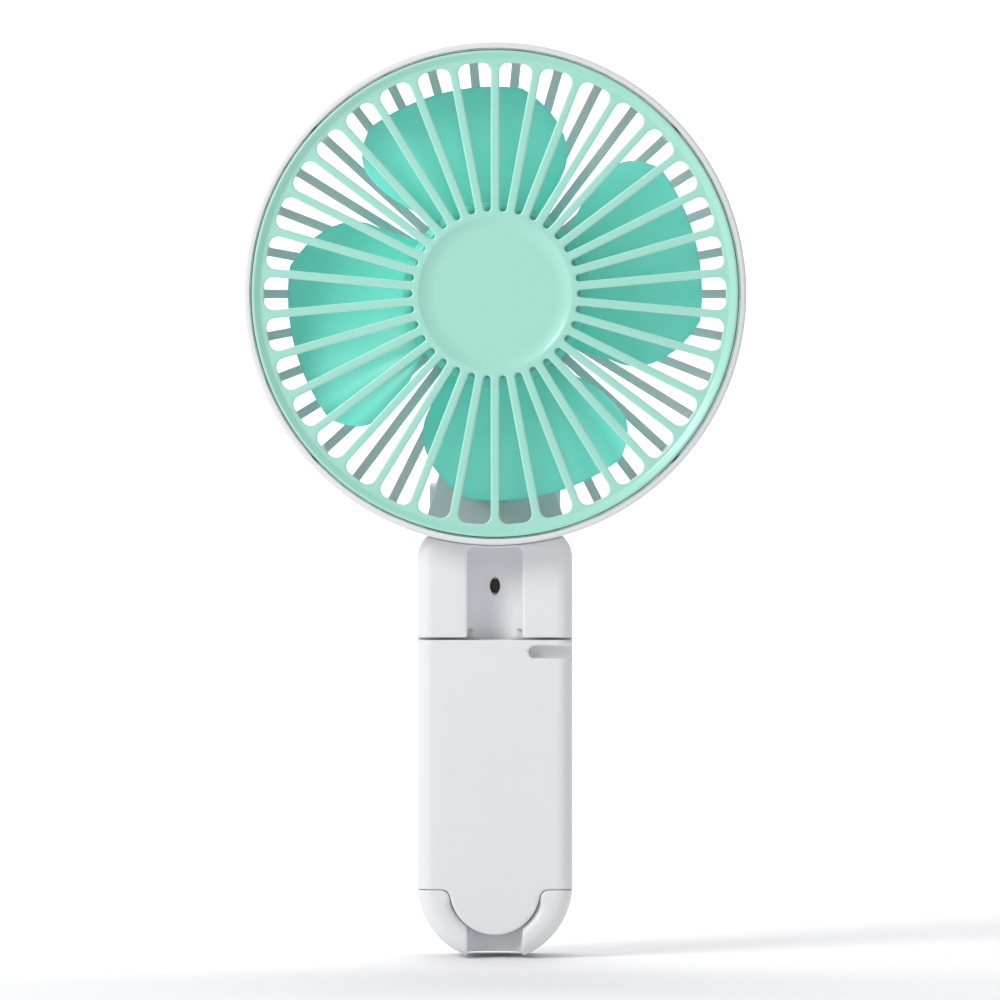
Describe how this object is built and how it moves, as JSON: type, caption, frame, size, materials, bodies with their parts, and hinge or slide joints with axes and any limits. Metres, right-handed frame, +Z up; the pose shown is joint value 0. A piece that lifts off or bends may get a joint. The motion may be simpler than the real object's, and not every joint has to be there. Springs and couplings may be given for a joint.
{
  "type": "handheld electric fan",
  "caption": "Folding handheld fan with a round caged head, a slim rechargeable handle and a fold-out leg at the front.",
  "frame": {"origin": "centre of the bounding box on the plane of the claw tips, under the handle", "axes": "+Z up along the handle, -Y out of the front grille, +X to the right seen from the front"},
  "size_m": [0.11, 0.033, 0.2006],
  "materials": {
    "white_plastic": "fine satin, moulded",
    "mint_plastic": "soft gloss, moulded",
    "aqua_plastic": "gloss, slightly translucent",
    "button_plastic": "satin",
    "grey_plastic": "satin",
    "screw_steel": "zinc plated",
    "screw_black": "black oxide",
    "shaft_steel": "ground and polished",
    "motor_steel": "drawn sheet",
    "port_steel": "satin",
    "brass": "turned",
    "bearing_bronze": "sintered",
    "copper_wire": "enamelled winding",
    "magnet_black": "bonded ferrite",
    "circuit_board": "solder mask",
    "lead_black": "insulated wire",
    "lead_red": "insulated wire",
    "battery_wrap": "shrink film",
    "dark_rubber": "matt",
    "light_lens": "frosted"
  },
  "bodies": {
    "handle": {"chassis": "white_plastic", "back_cover": "white_plastic", "fold_pin": "shaft_steel", "pin_caps": "white_plastic", "friction_washers": "dark_rubber", "neck_screw": "screw_black", "cover_screws": "screw_steel", "battery_cell": "battery_wrap", "battery_pad": "dark_rubber", "battery_lead": "lead_red", "main_board": "circuit_board", "usb_socket": "port_steel", "tact_switch": "screw_black", "charge_light": "light_lens", "light_guide": "light_lens", "latch_plate": "motor_steel"},
    "head": {"rear_housing": "white_plastic", "rim_ring": "white_plastic", "front_grille": "mint_plastic", "rim_screws": "screw_steel", "hinge_block": "white_plastic", "hinge_screws": "screw_steel", "motor_cap": "white_plastic", "motor_screws": "screw_steel", "bearing_tube": "brass", "front_bearing": "bearing_bronze", "rear_bearing": "bearing_bronze", "stator_core": "motor_steel", "stator_coils": "copper_wire", "motor_board": "circuit_board", "motor_lead": "lead_black"},
    "rotor": {"impeller": "aqua_plastic", "rotor_can": "motor_steel", "magnet_ring": "magnet_black", "motor_shaft": "shaft_steel", "shaft_clip": "screw_steel"},
    "leg": {"leg_shell": "white_plastic", "leg_liner": "grey_plastic", "leg_pin": "shaft_steel", "leg_magnet": "magnet_black", "leg_pad": "dark_rubber"},
    "button": {"power_button": "button_plastic"}
  },
  "joints": [
    {"name": "head_fold", "type": "hinge", "parent": "handle", "child": "head", "pos_m": [0, 0.01325, 0.1006], "axis": [-1, 0, 0], "range_deg": [0, 180]},
    {"name": "impeller_spin", "type": "hinge", "parent": "head", "child": "rotor", "pos_m": [0, 0, 0.1456], "axis": [0, 1, 0], "continuous": true},
    {"name": "leg_swing", "type": "hinge", "parent": "handle", "child": "leg", "pos_m": [0, -0.0042, 0.0672], "axis": [-1, 0, 0], "range_deg": [0, 70]},
    {"name": "power_press", "type": "slide", "parent": "handle", "child": "button", "axis": [0, -1, 0], "range_m": [0, 0.0006], "stiffness_N_per_m": 1500}
  ]
}
